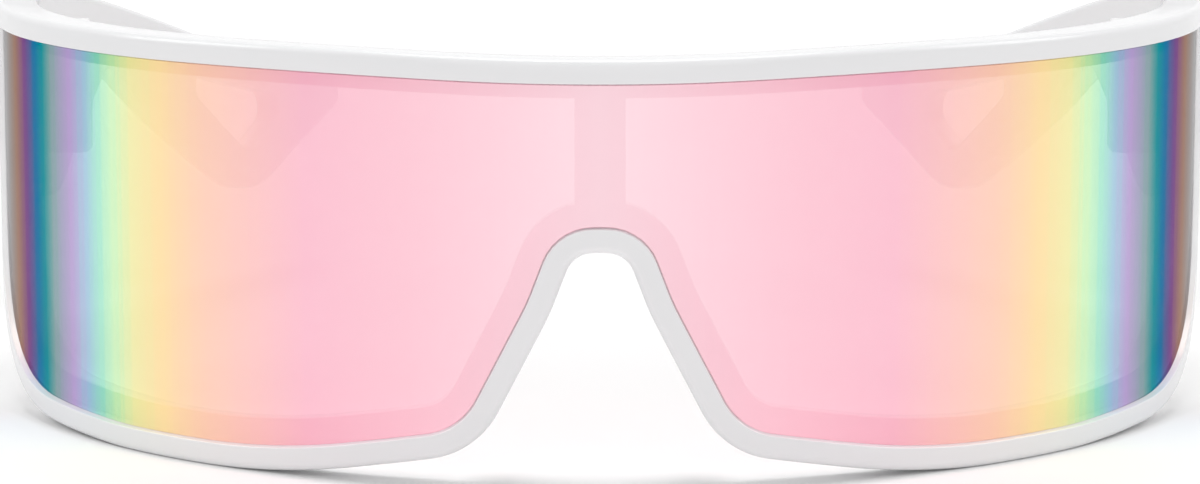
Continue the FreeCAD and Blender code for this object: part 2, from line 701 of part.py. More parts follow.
# Temple: a tapered strip bent inwards, cut to its outline seen from the side
temple_front_y = cell.rim_end + cell.butt_gap
temple_end_y = temple_front_y + cell.temple_length
temple_top = cell.rim_height + cell.temple_rise
bend_y = temple_front_y + cell.temple_length * cell.temple_bend_share
bend_x = end_inner_x - cell.temple_bend_in
end_x = end_inner_x - cell.temple_end_in


def between(first, last, share):
    """The place a share of the way from one (across, along) place to another."""
    return tuple(start + (stop - start) * share for start, stop in zip(first, last))


def strip_edge(front, bend, end):
    """One side of the temple's strip, from ahead of the rim's end to past the temple's end."""
    lead = between(front, bend, -cell.temple_lead_share)
    tail = between(bend, end, cell.temple_tail_share)
    reach = Reach(cell.temple_length * cell.temple_bend_reach_share)
    return [(*lead, None), (*bend, reach), (*tail, None)]


inner_edge = strip_edge((end_inner_x, temple_front_y), (bend_x, bend_y), (end_x, temple_end_y))
outer_edge = strip_edge((end_inner_x + cell.temple_front_thickness, temple_front_y),
                        (bend_x + cell.temple_bend_thickness, bend_y),
                        (end_x + cell.temple_end_thickness, temple_end_y))
strip_view = outline("strip_view", PLAN, inner_edge + list(reversed(outer_edge)))
strip = prism("strip", strip_view, UP, temple_top + cell.overrun)

# Corners of the temple's outline, along it and up
end_high = (temple_end_y, temple_top - cell.temple_end_drop)
end_low = (temple_end_y, temple_top - cell.temple_end_drop - cell.temple_end_height)
crest = (temple_front_y + cell.temple_length * cell.temple_crest_share, temple_top - cell.temple_crest_drop)
notch = (temple_front_y + cell.ear_along, temple_top - cell.ear_drop)
hook = (temple_end_y - cell.hook_before_end, temple_top - cell.hook_drop)
temple_view = outline("temple_view", SIDE, [
    (temple_front_y, temple_top, cell.temple_top_round),
    (temple_front_y, temple_top - cell.temple_front_height, cell.temple_toe_round),
    (*notch, cell.ear_round),
    (*hook, cell.hook_round),
    (*end_low, cell.temple_heel_round),
    (*end_high, cell.temple_end_round),
    (*crest, Reach(cell.temple_length * cell.temple_crest_reach_share)),
])
temple_slab = prism("temple_slab", temple_view, ACROSS, tool_half_width)
window_front = between(notch, end_high, cell.window_front_share)
window_rear = between(between(notch, end_high, cell.window_rear_share), hook, cell.window_rear_sink_share)
window_low = between(between(notch, end_high, cell.window_low_share), hook, cell.window_low_sink_share)
window_view = outline("window_view", SIDE, [
    (*window_front, cell.window_front_round),
    (*window_low, cell.window_low_round),
    (*window_rear, cell.window_rear_round),
])
window = prism("window", window_view, ACROSS, tool_half_width)
temple_blank = common("temple_blank", strip, temple_slab)
temple_windowed = cut("temple_windowed", temple_blank, window)


def long_edge(edge):
    """Edges round the temple's two faces, not those across its thickness or up its bend."""
    middle = (edge.FirstParameter + edge.LastParameter) / 2
    heading = edge.tangentAt(middle)
    spot = edge.valueAt(middle)
    front = temple_front_y.value + SAME_PLACE
    end = temple_end_y.value - SAME_PLACE
    up_bend = abs(heading.z) > ALONG_SHARE and front < spot.y < end
    return abs(heading.x) < ALONG_SHARE and not up_bend


temple_round = rounded("temple_round", temple_windowed, cell.temple_edge_round, long_edge)
seat_half = hinge_half_height + cell.seat_clearance
leaf_seat = box("leaf_seat", cell.overrun, temple_leaf_end + cell.seat_clearance - cell.rim_end,
                seat_half + seat_half, x=end_inner_x - cell.overrun, y=cell.rim_end,
                z=hinge_middle - seat_half)
temple_seated = cut("temple_seated", temple_round, leaf_seat)
left_temple = cut("left_temple", temple_seated, temple_leaf_holes)

# The wearer's right side mirrors the left
PAIRED = {
    "right_temple": left_temple,
    "right_front_hinge_leaf": left_front_hinge_leaf,
    "right_temple_hinge_leaf": left_temple_hinge_leaf,
    "right_hinge_screw": left_hinge_screw,
    "right_front_leaf_screws": left_front_leaf_screws,
    "right_temple_leaf_screws": left_temple_leaf_screws,
}
pieces = [front_frame, shield_lens, *PAIRED.values()]
pieces += [mirrored(name, source) for name, source in PAIRED.items()]
doc.recompute()

# Origin on the floor under the middle of the whole part: every piece moves by the same step
boxes = [piece.Shape.optimalBoundingBox(False, False) for piece in pieces]
depth_low = min(bounds.YMin for bounds in boxes)
depth_high = max(bounds.YMax for bounds in boxes)
step = -(depth_low + depth_high) / 2
for piece in [front_frame, shield_lens, *PAIRED.values()]:
    piece.Placement.Base.y += step
doc.recompute()

for feature in doc.Objects:
    if "Invalid" in feature.State or "Error" in feature.State:
        raise RuntimeError(f"{feature.Name} failed: {feature.State}")
for piece in pieces:
    if piece.Shape.isNull() or not piece.Shape.isValid():
        raise RuntimeError(f"{piece.Name} has no valid shape")
for piece in pieces:
    piece.Label = piece.Name
    piece.Shape.exportStep(f"parts/{piece.Label}.step")
    print(piece.Label, len(piece.Shape.Solids), "solid, volume", round(piece.Shape.Volume, 2))
print("step back", round(step, 4), "hinge axis", round(hinge_x.value, 4), round(hinge_y.value + step, 4))
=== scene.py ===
"""Shield sunglasses: the visible surfaces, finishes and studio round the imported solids.

Lengths are metres in the part's own frame: X across the face with the wearer's left at +X,
Y from the front of the rim towards the ears, Z up, with the floor at Z = 0. The shapes are
drawn with Y from the front of the rim and moved to the frame when their mesh is made.
"""

import json
import math

import bmesh
import bpy
import numpy as np
from bpy.props import FloatProperty, FloatVectorProperty, PointerProperty
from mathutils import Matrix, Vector


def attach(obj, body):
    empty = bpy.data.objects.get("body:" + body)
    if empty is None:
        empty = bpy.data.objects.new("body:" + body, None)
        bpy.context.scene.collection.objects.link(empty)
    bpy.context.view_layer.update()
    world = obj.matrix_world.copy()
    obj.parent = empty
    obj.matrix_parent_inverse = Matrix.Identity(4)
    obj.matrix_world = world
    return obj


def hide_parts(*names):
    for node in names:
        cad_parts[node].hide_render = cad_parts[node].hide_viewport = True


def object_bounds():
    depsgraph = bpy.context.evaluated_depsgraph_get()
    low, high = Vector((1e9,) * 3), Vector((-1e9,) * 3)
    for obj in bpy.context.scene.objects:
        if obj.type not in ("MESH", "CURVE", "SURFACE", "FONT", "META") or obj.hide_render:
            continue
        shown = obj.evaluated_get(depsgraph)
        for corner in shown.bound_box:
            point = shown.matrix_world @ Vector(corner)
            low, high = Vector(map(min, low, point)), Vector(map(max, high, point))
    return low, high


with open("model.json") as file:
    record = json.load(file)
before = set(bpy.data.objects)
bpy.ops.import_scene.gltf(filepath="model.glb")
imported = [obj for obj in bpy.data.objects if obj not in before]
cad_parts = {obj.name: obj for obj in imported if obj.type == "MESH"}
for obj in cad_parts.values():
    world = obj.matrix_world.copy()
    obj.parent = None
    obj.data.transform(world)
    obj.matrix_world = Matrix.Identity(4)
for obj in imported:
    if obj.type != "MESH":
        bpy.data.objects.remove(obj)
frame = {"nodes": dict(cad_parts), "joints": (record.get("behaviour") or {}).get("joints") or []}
CAD_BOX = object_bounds()

bl_info = {
    "name": "Shield Sunglasses",
    "version": (1, 0, 0),
    "blender": (4, 5, 0),
    "location": "View3D > Sidebar > Sunglasses",
    "description": "Builds a wrap-round shield lens, its rim, temples and studio around the packed solids",
    "category": "Add Mesh",
}

MM = 0.001
FRONT_Y = CAD_BOX[0].y
HINGE = Vector(next(joint["pos_m"] for joint in frame["joints"] if joint["child"] == "left_arm"))
ACROSS_FLIP = np.array([-1.0, 1.0, 1.0])
SIDES = {"left": 1, "right": -1}

# Fineness of the meshes

MERGE_DISTANCE = 1e-6
SHARP_ANGLE = math.radians(38)
CORNER_STEPS = 6
EDGE_STEPS = 6
TOP_STEPS = 96
END_STEPS = 14
BOTTOM_STEPS = 6
NOSE_SPACING = 0.6 * MM
SIDE_SPACING = 1.0 * MM
TEMPLE_SPACING = 0.25 * MM
LENS_ROWS = 26
POST_ROWS = 24
TEMPLE_ROWS = 18
TEMPLE_COLUMNS = 56
WINDOW_COLUMNS = 34
HEEL_COLUMNS = WINDOW_COLUMNS // 2
TIP_COLUMNS = 8
RING_ROWS = 10

# Straight leads beside the rim's curves, and the temple's seam ahead of its window

NOSE_LEAD = 8.7 * MM
FLAT_LEAD = 2.1 * MM
CORNER_LEAD = 2.0 * MM
SEAM_LEAD = 7 * MM
CREASE_SHARE = 0.25

# Finishes: marks to the metre with their detail, how dark they are, the range of roughness and the relief

NOISE_RANGE = (0.3, 0.7)
MOULDING = "gloss_white_moulding"
FLOW_MARKS = (60, 2)
FLOW_SHADE = 0.985
FLOW_ROUGHNESS = (0.16, 0.24)
PEEL_MARKS = (900, 1)
PEEL_STRENGTH = 0.05
BRUSH_MARKS = (900, 3)
BRUSH_STRETCH = (1, 1, 0.08)
BRUSH_SHADE = 0.85
BRUSH_ROUGHNESS = (0.24, 0.4)
BRUSH_STRENGTH = 0.1
RELIEF_HEIGHT = 0.02 * MM
HAZE_MARKS = (120, 2)
TINT_SHADE = 0.97
TINT_ROUGHNESS = (0.05, 0.09)
TINT_SOLID = 0.25
COAT_ROUGHNESS = (0.07, 0.11)
# The coat's own glare at a slant is kept low here; the pearl stop paints it in at the lens's very ends
COAT_EDGE_TINT = (0.33, 0.33, 0.33, 1)

# Mirror coat: degrees from the lens's middle, the colour there and how solid it is. Lagoon, teal and plum
# are coat colours darkened with painted shade where the hinge blocks stand behind the lens's ends; pearl at
# the very ends is a painted glare

ARC = "arc_from_middle"
ARC_STOPS = [
    (0.0, "blush", 0.87), (17.0, "petal", 0.84), (26.0, "rose", 0.79), (37.0, "peach", 0.82),
    (42.0, "cream", 0.87), (46.0, "lime", 0.76), (49.0, "mint", 0.58), (51.0, "aqua", 0.6),
    (53.0, "sky", 0.72), (56.0, "lilac", 0.87), (60.0, "slate", 0.92), (61.9, "lagoon_and_painted_shade", 0.95),
    (63.8, "teal_and_painted_shade", 0.95), (67.3, "plum_and_painted_shade", 0.93), (71.0, "bronze", 0.9), (78.0, "pearl_and_painted_glare", 0.87),
]
ARC_END = 90.0
STRIPES = 150
STRIPE_SHIFT = 0.35 / ARC_END

# Studio: how far each lamp is tilted and turned from straight down and how wide it is, in degrees

WHITE = (1, 1, 1, 1)
BACKDROP_LEVEL = 1.0
FLOOR_COLOUR = (0.92, 0.92, 0.92, 1)
FLOOR_GLOW = 0.035
OVERHEAD_TILT = 12
OVERHEAD_WIDTH = 34
SIDE_TILT = 50
SIDE_TURN = 10
SIDE_WIDTH = 30
FILL_TILT = 65
FILL_WIDTH = 60


# Sizes, colours and lights that the sidebar shows


def length(label, millimetres, description):
    """A size in the sidebar, given here in millimetres."""
    return FloatProperty(name=label, description=description, default=millimetres * MM,
                         min=0.0, precision=5, subtype="DISTANCE", unit="LENGTH")


def share(label, value, description):
    """A plain share in the sidebar."""
    return FloatProperty(name=label, description=description, default=value, subtype="FACTOR",
                         min=0.0, max=1.0)


def colour(label, value, description):
    """A colour in the sidebar, in linear light."""
    return FloatVectorProperty(name=label, description=description, default=value, size=3,
                               min=0.0, max=1.0, subtype="COLOR")


def coat(label, value, place="next outwards"):
    """A colour of the mirror coat in the sidebar."""
    return colour(label, value, "Mirror coat, " + place)


def light(label, value, description):
    """The strength of a light in the sidebar."""
    return FloatProperty(name=label, description=description, default=value, min=0.0)


class RimSizes(bpy.types.PropertyGroup):
    """Sizes of the moulded front and of the lens that it holds."""
    wrap_radius: length("Wrap radius", 75.5, "Outer radius of the rim, seen from above")
    depth: length("Depth", 5.0, "From the rim's face to its back")
    face_width: length("Face width", 2.7, "Width of the rim's face round the lens")
    end: length("End", 68.5, "From the front of the rim back to its ends")
    height: length("Height", 48.5, "Height of the rim at its sides")
    top_dip: length("Top dip", 1.0, "How far the lines of the top edge fall towards the middle")
    dip_reach: length("Dip reach", 16.0, "Half length of the bend in the middle of the top edge")
    brow_half: length("Brow half width", 33.0, "Where the top edge starts to fall, from the middle")
    brow_reach: length("Brow reach", 12.0, "Half length of the bend there")
    corner: length("Corner", 32.0, "Radius of the lower rear corner, seen from the side")
    end_rise: length("End rise", 2.2, "How far the lower edge's line rises towards the ends")
    flat_depth: length("Flat depth", 25.0, "From the front back to where that line starts to rise")
    flat_reach: length("Flat reach", 2.0, "Half length of the bend there")
    face_round: length("Face round", 0.9, "Rounding of the rim's outer front edge")
    lip_round: length("Lip round", 0.15, "Rounding of the rim's edge beside the lens")
    back_round: length("Back round", 0.6, "Rounding of the rim's back edges")
    end_round: length("End round", 1.6, "Rounding of the rim's upper rear corners")
    ledge: length("Ledge", 2.8, "Ledge behind the lens, past the rim's face")
    ledge_top: length("Top ledge", 1.8, "The same ledge along the top")
    post_width: length("Post width", 5.6, "Post behind the lens, above the nose")
    crown_half: length("Crown half width", 2.9, "Half width of the nose arch at its crown")
    crown_height: length("Crown height", 26.45, "Height of the arch's crown")
    crown_round: length("Crown round", 3.2, "Rounding of the crown's corners")
    waist_half: length("Waist half width", 5.5, "Half width where the arch's sides bend out")
    waist_height: length("Waist height", 19.65, "Height of that bend")
    waist_round: length("Waist round", 30.0, "Rounding of that bend")
    foot_half: length("Foot half width", 13.6, "Half width of the arch at its foot")
    foot_height: length("Foot height", 3.95, "Height of the arch's foot")
    foot_round: length("Foot round", 10.5, "Rounding of the arch's foot")
    flat_half: length("Flat half width", 36.5, "Where the lower edge starts to rise to the nose")
    flat_round: length("Flat round", 100.0, "Rounding of the lower edge there")
    lens_setback: length("Lens setback", 0.7, "How far the lens lies under the rim's face")
    lens_thickness: length("Lens thickness", 1.8, "Thickness of the lens")
    lens_gap: length("Lens gap", 0.12, "Gap round the lens")
    seat_gap: length("Seat gap", 0.05, "Adhesive between the lens and its ledge")
    lens_bevel: length("Lens bevel", 0.08, "Polished bevel along the lens's edges")


class BlockSizes(bpy.types.PropertyGroup):
    """Sizes of the hinge blocks and nose pads, which are moulded with the rim."""
    block_in: length("Block inner side", 63.55, "Hinge block's inner side, from the middle")
    block_out: length("Block outer side", 70.15, "Where the hinge block meets the rim's inside")
    block_bite: length("Block bite", 1.5, "How far the hinge block reaches into the rim")
    block_depth: length("Block depth", 5.5, "Hinge block along the rim's end")
    block_low: length("Block bottom", 29.6, "Height of the hinge block's bottom")
    block_high: length("Block top", 46.0, "Height of the hinge block's top")
    block_round: length("Block round", 2.2, "Rounding of the hinge block's free corner")
    block_edge: length("Block edge", 0.5, "Rounding of the hinge block's top and bottom")
    pad_thickness: length("Pad thickness", 2.4, "Thickness of a nose pad")
    pad_root: length("Pad root", 3.2, "From the front of the rim to where the pad grows out")
    pad_reach: length("Pad reach", 11.0, "From the front of the rim to the pad's rear")
    pad_round: length("Pad round", 1.1, "Rounding of the pad's corners")
    pad_rear_round: length("Pad rear round", 0.8, "Rounding of the pad's rear end")
    pad_top: share("Pad top", 0.1, "Top of the pad, as a share of the way from waist to foot")
    pad_low: share("Pad bottom", 0.72, "Bottom of the pad, the same way")


class TempleSizes(bpy.types.PropertyGroup):
    """Sizes of the two temples, along them from the front of the rim and up from the floor."""
    front: length("Front", 68.85, "Temple's front end")
    end: length("End", 172.4, "Temple's rear end")
    bend: length("Bend", 123.8, "Where the temple bends inwards")
    bend_reach: length("Bend reach", 48.67, "Half length of that bend")
    inner_front: length("Inner face, front", 70.15, "Inner face from the middle, at the front end")
    inner_bend: length("Inner face, bend", 65.4, "Inner face from the middle, at the bend")
    inner_end: length("Inner face, end", 39.1, "Inner face from the middle, at the end")
    front_thickness: length("Front thickness", 5.0, "Thickness at the front end")
    bend_thickness: length("Bend thickness", 4.1, "Thickness at the bend")
    end_thickness: length("End thickness", 3.4, "Thickness at the end")
    top: length("Top", 51.85, "Height of the front end's top")
    top_round: length("Top round", 2.0, "Rounding of the front end's upper corner")
    toe: length("Toe", 15.35, "Height of the front end's bottom")
    toe_round: length("Toe round", 9.0, "Rounding of the front end's lower corner")
    notch_along: length("Notch along", 104.8, "Notch over the ear")
    notch_up: length("Notch up", 37.15, "Height of the notch")
    notch_round: length("Notch round", 8.0, "Rounding of the notch")
    hook_along: length("Hook along", 150.6, "Lowest corner behind the ear")
    hook_up: length("Hook up", 12.15, "Height of that corner")
    hook_round: length("Hook round", 11.0, "Rounding of that corner")
    heel_up: length("Heel up", 23.55, "Height of the end's lower corner")
    tip_up: length("Tip up", 26.75, "Height of the end's upper corner")
    tip_round: length("Tip round", 1.7, "Rounding of the end's corners")
    crest_along: length("Crest along", 120.0, "Where the top edge bends down")
    crest_up: length("Crest up", 41.75, "Height of that bend")
    crest_round: length("Crest round", 390.0, "Rounding of that bend")
    window_front_along: length("Window front along", 127.5, "Window's front corner")
    window_front_up: length("Window front up", 33.65, "Height of that corner")
    window_front_round: length("Window front round", 1.6, "Rounding of that corner")
    window_rear_along: length("Window rear along", 161.5, "Window's rear corner")
    window_rear_up: length("Window rear up", 25.75, "Height of that corner")
    window_rear_round: length("Window rear round", 2.6, "Rounding of that corner")
    window_low_along: length("Window low along", 149.6, "Window's lowest corner")
    window_low_up: length("Window low up", 18.95, "Height of that corner")
    window_low_round: length("Window low round", 3.0, "Rounding of that corner")
    edge_round: length("Edge round", 0.9, "Rounding of the temple's long edges")
    seat_rear: length("Seat rear", 82.25, "Rear end of the recess for the hinge leaf")
    seat_half: length("Seat half height", 4.75, "Half height of that recess")


class Finishes(bpy.types.PropertyGroup):
    """Colours of the mouldings, the mirror coat and the hinges, in linear light; the coat's colours near the
    lens's ends hold painted shade and a painted glare.
    """
    plastic: colour("Plastic", (0.86, 0.86, 0.87), "Gloss moulded plastic")
    steel: colour("Steel", (0.66, 0.66, 0.68), "Hinges and screws")
    tint: colour("Lens tint", (0.93, 0.72, 0.78), "Clear lens behind the mirror coat")
    blush: coat("Blush", (1.0, 0.7, 0.765), "at the middle of the lens")
    petal: coat("Petal", (0.975, 0.534, 0.629))
    rose: coat("Rose", (0.958, 0.462, 0.577))
    peach: coat("Peach", (0.991, 0.596, 0.431))
    cream: coat("Cream", (0.99, 0.73, 0.352))
    lime: coat("Lime", (0.895, 0.845, 0.325))
    mint: coat("Mint", (0.48, 0.96, 0.375))
    aqua: coat("Aqua", (0.17, 0.835, 0.535))
    sky: coat("Sky", (0.275, 0.58, 0.77))
    lilac: coat("Lilac", (0.56, 0.39, 0.74))
    slate: coat("Slate", (0.305, 0.5, 0.49))
    # Lagoon, teal and plum: coat colours darkened with painted shade of the hinge blocks behind the lens's
    # ends
    lagoon_and_painted_shade: coat("Lagoon", (0.003, 0.43, 0.465))
    teal_and_painted_shade: coat("Teal", (0.003, 0.32, 0.6))
    plum_and_painted_shade: coat("Plum", (0.385, 0.12, 0.485))
    bronze: coat("Bronze", (0.9, 0.45, 0.255))
    # Pearl: a near-white painted glare, standing for the white the coat shows edge-on at the lens's very
    # ends
    pearl_and_painted_glare: coat("Pearl", (0.99, 0.99, 0.97), "at the lens's very ends")


class Studio(bpy.types.PropertyGroup):
    """The studio round the sunglasses."""
    distance: length("Camera distance", 450.0, "Camera to the front of the rim")
    aim_height: length("Aim height", 27.81, "Height that the camera aims at")
    tilt: FloatProperty(name="Tilt", description="How far the camera looks down",
                        default=math.radians(8.4), subtype="ANGLE", unit="ROTATION")
    focal: FloatProperty(name="Focal length", description="On a sensor 36 mm wide", default=123.75,
                         min=1.0, unit="CAMERA")
    floor_size: length("Floor size", 6000.0, "Side of the floor")
    surround: light("Surround", 0.36, "Light from all round")
    overhead: light("Overhead", 1.2, "Light from above")
    aside: light("Aside", 0.62, "Light from each side")
    fill: light("Fill", 0.72, "Light from the camera's side")


class Settings(bpy.types.PropertyGroup):
    """Everything that the sidebar shows."""
    rim: PointerProperty(type=RimSizes)
    blocks: PointerProperty(type=BlockSizes)
    temple: PointerProperty(type=TempleSizes)
    finishes: PointerProperty(type=Finishes)
    studio: PointerProperty(type=Studio)


# Outlines in a flat view


def unit(vectors):
    """Vectors scaled to length one, along their last axis."""
    vectors = np.asarray(vectors, float)
    return vectors / np.linalg.norm(vectors, axis=-1, keepdims=True)


def rounded_path(corners, rounds, spacing):
    """Points and left-hand normals along straight runs through corners, each corner rounded.

    A corner's arc touches both runs: it starts radius / tan(half the angle) before the corner,
    and its centre lies radius / sin(half the angle) from the corner along the bisector.
    """
    corners = np.asarray(corners, float)
    points, normals = [], []

    def run(first, last):
        steps = max(1, math.ceil(np.linalg.norm(last - first) / spacing))
        shares = np.arange(steps)[:, None] / steps
        points.append(first + (last - first) * shares)
        along = unit(last - first)
        normals.append(np.tile([-along[1], along[0]], (steps, 1)))

    place = corners[0]
    for before, corner, after, radius in zip(corners, corners[1:], corners[2:], rounds):
        back, ahead = unit(before - corner), unit(after - corner)
        half = math.acos(np.clip(back @ ahead, -1, 1)) / 2
        arrive = corner + back * radius / math.tan(half)
        leave = corner + ahead * radius / math.tan(half)
        run(place, arrive)
        centre = corner + unit(back + ahead) * radius / math.sin(half)
        turn = math.copysign(math.pi - 2 * half, ahead[0] * back[1] - ahead[1] * back[0])
        steps = max(CORNER_STEPS, math.ceil(abs(turn) * radius / spacing))
        start = math.atan2(*(arrive - centre)[::-1])
        angles = start + turn * np.arange(steps) / steps
        spokes = np.column_stack([np.cos(angles), np.sin(angles)])
        points.append(centre + radius * spokes)
        normals.append(-spokes * math.copysign(1, turn))
        place = leave
    run(place, corners[-1])
    points.append(corners[-1:])
    normals.append(normals[-1][-1:])
    return np.concatenate(points), np.concatenate(normals)


def rounded_section(corners, rounds, spacing):
    """The same for a section that ends where it starts, without that last point."""
    points, normals = rounded_path(corners, rounds, spacing)
    return points[:-1], normals[:-1]


def rounded_edge(radius):
    """Distances of a rounded edge's points from the face where it starts and the one where it ends."""
    turn = np.linspace(0, math.pi / 2, EDGE_STEPS)
    return radius * (1 - np.cos(turn)), radius * (1 - np.sin(turn))


class Loop:
    """A closed outline that can be read at any distance along it."""

    def __init__(self, start, corners, rounds, spacing):
        self.points, self.normals = rounded_path([start, *corners, start], rounds, spacing)
        steps = np.linalg.norm(np.diff(self.points, axis=0), axis=1)
        self.stations = np.concatenate([[0], np.cumsum(steps)])
        self.total = self.stations[-1]

    def station(self, mark):
        """How far along the outline its nearest place to a mark lies."""
        return self.stations[np.argmin(np.linalg.norm(self.points - mark, axis=1))]

    def stretches(self, stops, counts):
        """Points and normals from each station to the next and round to the first, so many in each."""
        stops = [stop % self.total for stop in stops]
        where = []
        for first, last, count in zip(stops, stops[1:] + stops[:1], counts):
            if last < first:
                last += self.total
            where.append((first + (last - first) * np.arange(count) / count) % self.total)
        where = np.concatenate(where)
        points = [np.interp(where, self.stations, column) for column in self.points.T]
        normals = [np.interp(where, self.stations, column) for column in self.normals.T]
        return np.column_stack(points), unit(np.column_stack(normals))


def coons(low, high, first, last):
    """A grid that fills four edges: the two blends of opposite edges less the blend of corners."""
    u = np.linspace(0, 1, len(low))[:, None, None]
    v = np.linspace(0, 1, len(first))[None, :, None]
    across = (1 - v) * low[:, None] + v * high[:, None]
    along = (1 - u) * first[None] + u * last[None]
    corners = ((1 - u) * (1 - v) * low[0] + u * (1 - v) * low[-1]
               + (1 - u) * v * high[0] + u * v * high[-1])
    return across + along - corners


# Meshes from grids


def places(x, y, z):
    """Points from three arrays of coordinates, spread to one shape."""
    return np.stack(np.broadcast_arrays(x, y, z), axis=-1)


def grid_faces(rows, columns, round_rows, round_columns):
    """Quads of a grid of rows by columns, closed round either way where asked."""
    i = np.arange(rows if round_rows else rows - 1)[:, None]
    j = np.arange(columns if round_columns else columns - 1)[None, :]
    i_next, j_next = (i + 1) % rows, (j + 1) % columns
    quads = [i * columns + j, i * columns + j_next, i_next * columns + j_next, i_next * columns + j]
    return np.stack(quads, axis=-1).reshape(-1, 4)


def add_object(name, data):
    """A new object in the scene, at the origin."""
    thing = bpy.data.objects.new(name, data)
    bpy.context.scene.collection.objects.link(thing)
    return thing


class Shell:
    """Patches of a surface, gathered into one mesh whose seams are then closed."""

    def __init__(self):
        self.points, self.faces, self.count = [], [], 0

    def grid(self, points, round_rows=False, round_columns=False):
        """Add a grid of points, joined by quads."""
        rows, columns = points.shape[:2]
        faces = grid_faces(rows, columns, round_rows, round_columns) + self.count
        self.points.append(points.reshape(-1, 3))
        self.faces += faces.tolist()
        self.count += rows * columns

    def cap(self, ring):
        """Add one face across a closed ring of points."""
        self.points.append(ring)
        self.faces.append(list(range(self.count, self.count + len(ring))))
        self.count += len(ring)

    def piece(self, name, flip=1):
        """The object: its mesh moved to the part's frame, merged, turned outwards and smooth."""
        points = np.concatenate(self.points) + [0, FRONT_Y, 0]
        points = points * (ACROSS_FLIP if flip < 0 else 1)
        mesh = bpy.data.meshes.new(name)
        mesh.from_pydata(points.tolist(), [], self.faces)
        soft = bmesh.new()
        soft.from_mesh(mesh)
        bmesh.ops.remove_doubles(soft, verts=soft.verts, dist=MERGE_DISTANCE)
        bmesh.ops.dissolve_degenerate(soft, edges=soft.edges, dist=MERGE_DISTANCE)
        bmesh.ops.recalc_face_normals(soft, faces=soft.faces)
        soft.to_mesh(mesh)
        soft.free()
        mesh.shade_smooth()
        mesh.set_sharp_from_angle(angle=SHARP_ANGLE)
        return add_object(name, mesh)


def capped_tube(rings):
    """A shell through closed rings of points, with a flat cap at each end."""
    shell = Shell()
    shell.grid(rings, round_columns=True)
    shell.cap(rings[0])
    shell.cap(rings[-1])
    return shell


def mesh_vectors(items, name):
    """One vector of each vertex or face of a mesh, as three rows of coordinates."""
    values = np.empty(len(items) * 3)
    items.foreach_get(name, values)
    return values.reshape(-1, 3).T


def carve(thing, cutter):
    """Cut one piece by another and keep the result in the first one's mesh."""
    knife = thing.modifiers.new("Recess", "BOOLEAN")
    knife.object = cutter
    knife.operation = "DIFFERENCE"
    knife.solver = "EXACT"
    graph = bpy.context.evaluated_depsgraph_get()
    carved = bpy.data.meshes.new_from_object(thing.evaluated_get(graph))
    thing.modifiers.clear()
    carved.set_sharp_from_angle(angle=SHARP_ANGLE)
    thing.data = carved
    bpy.data.objects.remove(cutter)


def settle(thing, body, slot, material, *nodes):
    """Give a finished piece its material and its body, and hide the solids that it stands for; the slot is
    not used.
    """
    if not thing.data.materials:
        thing.data.materials.append(material)
    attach(thing, body)
    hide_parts(*nodes)


def settle_on_rim(thing, finishes):
    """Settle a piece that is moulded in one with the rim."""
    settle(thing, "front", "white_plastic", gloss_plastic(finishes), "front_frame")


# The wrap: the rim's outline on cylinders about one upright axis


def top_line(rim, x):
    """Height of the rim's top edge: level sides and a shallow V between them, its bends parabolas."""
    slope = rim.top_dip / rim.brow_half
    x = np.abs(x)
    fall = np.interp(x, [0, rim.brow_half], [rim.top_dip, 0])
    in_dip = np.clip(1 - x / rim.dip_reach, 0, None) ** 2 * rim.dip_reach
    in_brow = np.clip(1 - np.abs(x - rim.brow_half) / rim.brow_reach, 0, None) ** 2 * rim.brow_reach / 2
    return rim.height - fall + slope / 2 * (in_dip - in_brow)


def nose_path(rim):
    """The lower edge from its flat stretch up over the nose to the middle, with normals into the rim."""
    corners = [(rim.flat_half + NOSE_LEAD, 0), (rim.flat_half, 0), (rim.foot_half, rim.foot_height),
               (rim.waist_half, rim.waist_height), (rim.crown_half, rim.crown_height),
               (0, rim.crown_height)]
    rounds = [rim.flat_round, rim.foot_round, rim.waist_round, rim.crown_round]
    points, normals = rounded_path(corners, rounds, NOSE_SPACING)
    return points, -normals


def side_path(rim):
    """The lower edge seen from the side: flat, rising, round the rear corner and up to its top."""
    slope = math.atan2(rim.end_rise, rim.end - rim.flat_depth)
    bend = rim.flat_reach / math.tan(slope / 2)
    corner_top = rim.end_rise + rim.corner * math.tan(math.pi / 4 - slope / 2)
    corners = [(rim.flat_depth - FLAT_LEAD, 0), (rim.flat_depth, 0), (rim.end, rim.end_rise),
               (rim.end, corner_top + CORNER_LEAD)]
    return rounded_path(corners, [bend, rim.corner], SIDE_SPACING)


def from_front(rim, x, z, radius):
    """A place seen from ahead, put on a cylinder of the wrap."""
    return places(x, rim.wrap_radius - np.sqrt(radius * radius - x * x), z)


def from_side(rim, y, z, radius):
    """A place seen from the side, put on a cylinder of the wrap."""
    return places(np.sqrt(radius * radius - (rim.wrap_radius - y) ** 2), y, z)


def lower_edge(rim, inset, radius):
    """The lower edge from the middle of the nose out to the end, drawn in by an inset.

    The points of the arch and of the side view move along their normals, and the flat stretch
    between them rises by the inset.
    """
    def drawn_in(points, normals):
        return np.moveaxis(points + inset[..., None] * normals, -1, 0)

    arch = from_front(rim, *drawn_in(*nose_path(rim)), radius)[:, ::-1]
    side = from_side(rim, *drawn_in(*side_path(rim)), radius)
    inner = np.arcsin(arch[:, -1:, 0] / radius)
    outer = np.arcsin(side[:, :1, 0] / radius)
    shares = np.arange(1, BOTTOM_STEPS)[None] / BOTTOM_STEPS
    flat = from_front(rim, radius * np.sin(inner + (outer - inner) * shares), inset, radius)
    return np.concatenate([arch, flat, side], axis=1)


